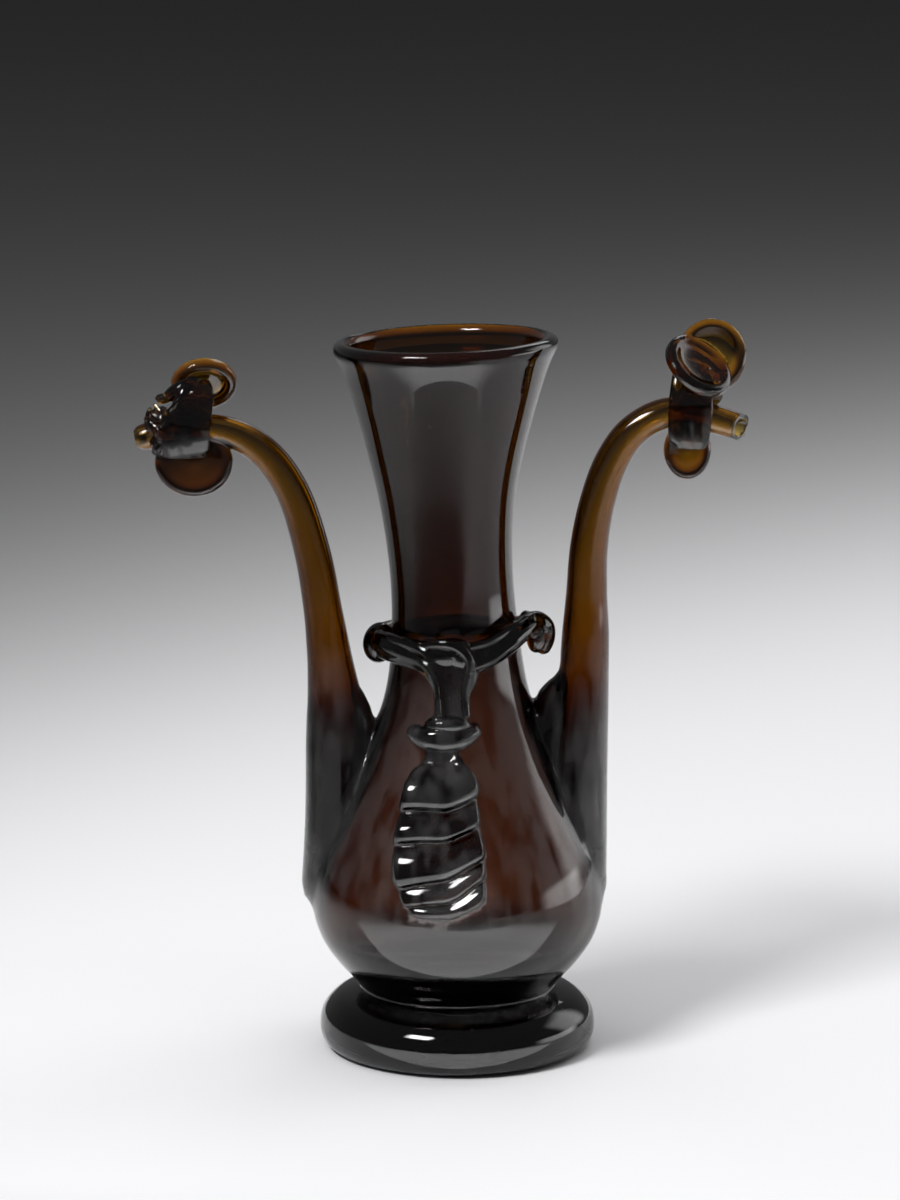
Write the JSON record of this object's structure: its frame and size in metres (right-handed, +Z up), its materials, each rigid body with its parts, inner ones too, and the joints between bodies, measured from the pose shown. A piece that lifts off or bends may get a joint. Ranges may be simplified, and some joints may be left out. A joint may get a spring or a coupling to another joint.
{
  "type": "ewer",
  "caption": "Dark amber glass ewer: pear-shaped body on a thick pad foot, flared neck, crimped front pendant and slender hollow spouts with ribbon ears.",
  "frame": {"origin": "centre of the foot's underside, on the surface that the ewer stands on", "axes": "+Z up along the vessel, +X from the broken spout to the whole one, +Y from the pendant to the back"},
  "size_m": [0.1487, 0.0749, 0.179],
  "materials": {
    "dark_glass": "fire-polished, dark amber brown, a little dusty"
  },
  "bodies": {
    "root": {"ewer": "dark_glass"}
  },
  "joints": []
}
